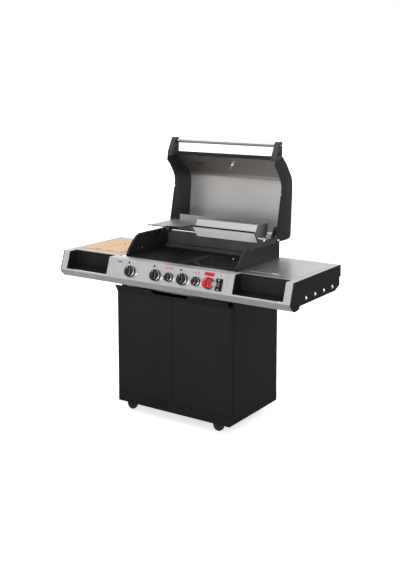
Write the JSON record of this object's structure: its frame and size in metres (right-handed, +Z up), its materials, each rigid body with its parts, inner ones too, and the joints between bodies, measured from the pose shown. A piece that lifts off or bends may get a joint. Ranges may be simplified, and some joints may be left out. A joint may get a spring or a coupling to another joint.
{
  "type": "gas barbecue grill",
  "caption": "Gas barbecue grill on a two-door cart with casters, side shelves with bins, a side burner, a cutting board, a warming shelf and a hinged lid.",
  "frame": {"origin": "middle of the floor under the grill's bounding box", "axes": "+X to the right along the control panel, +Y from the knobs to the back, +Z up"},
  "size_m": [1.52, 0.7932, 1.5386],
  "materials": {
    "brushed_steel": "fine horizontal brushing, satin",
    "heat_worn_steel": "satin aluminised steel, slightly darkened",
    "burner_steel": "dull stainless steel",
    "galvanised_tray": "galvanised sheet",
    "gas_pipe": "plated pipe with valves",
    "black_paint": "satin black powder coat",
    "black_casting": "semi-matt black enamel",
    "black_plastic": "matt black",
    "opener_metal": "black plate with a bright claw",
    "knob_black": "satin black with a bright ring",
    "knob_red": "satin red",
    "handle_steel": "polished tube",
    "dial_case": "bright bezel round a dial",
    "grate_iron": "matt black enamelled cast iron",
    "bamboo": "oiled bamboo strips",
    "caster_steel": "black plated steel",
    "caster_tyre": "matt black"
  },
  "bodies": {
    "cart": {"plinth": "black_paint", "side_panel_left": "black_paint", "side_panel_right": "black_paint", "back_panel": "black_paint", "control_panel": "brushed_steel", "shelf_fascia_left": "brushed_steel", "shelf_fascia_right": "brushed_steel", "bin_left": "black_plastic", "bin_right": "black_plastic", "shelf_top_left": "brushed_steel", "shelf_top_right": "brushed_steel", "end_panel_left": "black_plastic", "end_panel_right": "black_plastic", "firebox_side_left": "black_casting", "firebox_side_right": "black_casting", "firebox_tub": "burner_steel", "burner_tube_1": "burner_steel", "burner_tube_2": "burner_steel", "burner_tube_3": "burner_steel", "heat_tent_1": "burner_steel", "heat_tent_2": "burner_steel", "heat_tent_3": "burner_steel", "infrared_burner": "burner_steel", "gas_manifold": "gas_pipe", "side_burner": "burner_steel", "bottle_opener": "opener_metal"},
    "lid": {"lid_skin": "black_casting", "lid_liner": "heat_worn_steel", "lid_side_left": "black_casting", "lid_side_right": "black_casting", "handle_bracket_left": "black_plastic", "handle_bracket_right": "black_plastic", "handle_tube": "handle_steel", "thermometer": "dial_case"},
    "rack_arms": {"rack_arm_left": "brushed_steel", "rack_arm_right": "brushed_steel"},
    "rack": {"warming_shelf": "brushed_steel", "shelf_hood": "brushed_steel"},
    "door_left": {"door_left": "black_paint"},
    "door_right": {"door_right": "black_paint"},
    "knob_main_left": {"knob_main_left": "knob_black"},
    "knob_main_centre": {"knob_main_centre": "knob_black"},
    "knob_rear": {"knob_rear": "knob_black"},
    "knob_main_right": {"knob_main_right": "knob_black"},
    "knob_side": {"knob_side": "knob_black"},
    "knob_searing": {"knob_searing": "knob_red"},
    "caster_front_left": {"caster_fork_front_left": "caster_steel"},
    "wheel_front_left": {"caster_wheel_front_left": "caster_tyre"},
    "caster_front_right": {"caster_fork_front_right": "caster_steel"},
    "wheel_front_right": {"caster_wheel_front_right": "caster_tyre"},
    "caster_back_left": {"caster_fork_back_left": "caster_steel"},
    "wheel_back_left": {"caster_wheel_back_left": "caster_tyre"},
    "caster_back_right": {"caster_fork_back_right": "caster_steel"},
    "wheel_back_right": {"caster_wheel_back_right": "caster_tyre"},
    "grease_tray": {"grease_tray": "galvanised_tray"},
    "cutting_board": {"cutting_board": "bamboo"},
    "grate_left": {"grate_left": "grate_iron"},
    "grate_right": {"grate_right": "grate_iron"},
    "grate_insert": {"grate_insert": "grate_iron"},
    "side_burner_lid": {"side_burner_lid": "brushed_steel"}
  },
  "joints": [
    {"name": "lid_hinge", "type": "hinge", "parent": "cart", "child": "lid", "pos_m": [0, 0.16703, 0.994], "axis": [1, 0, 0], "range_deg": [0, 102.5]},
    {"name": "rack_arm_swing", "type": "hinge", "parent": "cart", "child": "rack_arms", "pos_m": [0, 0.04103, 0.94], "axis": [1, 0, 0], "range_deg": [0, 88]},
    {"name": "rack_level", "type": "hinge", "parent": "rack_arms", "child": "rack", "pos_m": [0, 0.10403, 1.003], "axis": [1, 0, 0], "range_deg": [-88, 0]},
    {"name": "door_left_hinge", "type": "hinge", "parent": "cart", "child": "door_left", "pos_m": [-0.364, -0.29447, 0.4], "axis": [0, 0, -1], "range_deg": [0, 110]},
    {"name": "door_right_hinge", "type": "hinge", "parent": "cart", "child": "door_right", "pos_m": [0.364, -0.29447, 0.4], "axis": [0, 0, 1], "range_deg": [0, 110]},
    {"name": "knob_main_left_turn", "type": "hinge", "parent": "cart", "child": "knob_main_left", "pos_m": [-0.25, -0.35044, 0.83], "axis": [0, -0.9496, 0.3135], "range_deg": [0, 225]},
    {"name": "knob_main_centre_turn", "type": "hinge", "parent": "cart", "child": "knob_main_centre", "pos_m": [-0.076, -0.35044, 0.83], "axis": [0, -0.9496, 0.3135], "range_deg": [0, 225]},
    {"name": "knob_rear_turn", "type": "hinge", "parent": "cart", "child": "knob_rear", "pos_m": [0.013, -0.35044, 0.83], "axis": [0, -0.9496, 0.3135], "range_deg": [0, 180]},
    {"name": "knob_main_right_turn", "type": "hinge", "parent": "cart", "child": "knob_main_right", "pos_m": [0.102, -0.35044, 0.83], "axis": [0, -0.9496, 0.3135], "range_deg": [0, 225]},
    {"name": "knob_side_turn", "type": "hinge", "parent": "cart", "child": "knob_side", "pos_m": [0.189, -0.35044, 0.83], "axis": [0, -0.9496, 0.3135], "range_deg": [0, 180]},
    {"name": "knob_searing_turn", "type": "hinge", "parent": "cart", "child": "knob_searing", "pos_m": [0.268, -0.35044, 0.83], "axis": [0, -0.9496, 0.3135], "range_deg": [0, 225]},
    {"name": "caster_front_left_swivel", "type": "hinge", "parent": "cart", "child": "caster_front_left", "pos_m": [-0.295, -0.26197, 0.084], "axis": [0, 0, 1], "continuous": true},
    {"name": "wheel_front_left_roll", "type": "hinge", "parent": "caster_front_left", "child": "wheel_front_left", "pos_m": [-0.315, -0.26197, 0.032], "axis": [0, 1, 0], "continuous": true},
    {"name": "caster_front_right_swivel", "type": "hinge", "parent": "cart", "child": "caster_front_right", "pos_m": [0.295, -0.26197, 0.084], "axis": [0, 0, 1], "continuous": true},
    {"name": "wheel_front_right_roll", "type": "hinge", "parent": "caster_front_right", "child": "wheel_front_right", "pos_m": [0.275, -0.26197, 0.032], "axis": [0, 1, 0], "continuous": true},
    {"name": "caster_back_left_swivel", "type": "hinge", "parent": "cart", "child": "caster_back_left", "pos_m": [-0.295, 0.14403, 0.084], "axis": [0, 0, 1], "continuous": true},
    {"name": "wheel_back_left_roll", "type": "hinge", "parent": "caster_back_left", "child": "wheel_back_left", "pos_m": [-0.315, 0.14403, 0.032], "axis": [0, 1, 0], "continuous": true},
    {"name": "caster_back_right_swivel", "type": "hinge", "parent": "cart", "child": "caster_back_right", "pos_m": [0.295, 0.14403, 0.084], "axis": [0, 0, 1], "continuous": true},
    {"name": "wheel_back_right_roll", "type": "hinge", "parent": "caster_back_right", "child": "wheel_back_right", "pos_m": [0.275, 0.14403, 0.032], "axis": [0, 1, 0], "continuous": true},
    {"name": "grease_tray_slide", "type": "slide", "parent": "cart", "child": "grease_tray", "axis": [0, 1, 0], "range_m": [0, 0.3]},
    {"name": "cutting_board_lift", "type": "slide", "parent": "cart", "child": "cutting_board", "axis": [0, 0, 1], "range_m": [0, 0.15]},
    {"name": "grate_left_lift", "type": "slide", "parent": "cart", "child": "grate_left", "axis": [0, 0, 1], "range_m": [0, 0.04]},
    {"name": "grate_right_lift", "type": "slide", "parent": "cart", "child": "grate_right", "axis": [0, 0, 1], "range_m": [0, 0.04]},
    {"name": "grate_insert_lift", "type": "slide", "parent": "grate_right", "child": "grate_insert", "axis": [0, 0, 1], "range_m": [0, 0.04]},
    {"name": "side_burner_lid_hinge", "type": "hinge", "parent": "cart", "child": "side_burner_lid", "pos_m": [0.58, 0.12563, 0.893], "axis": [-1, 0, 0], "range_deg": [0, 95]}
  ],
  "couplings": [
    {"joint": "rack_arm_swing", "follows": "lid_hinge", "ratio": 0.8585},
    {"joint": "rack_level", "follows": "lid_hinge", "ratio": -0.8585}
  ]
}
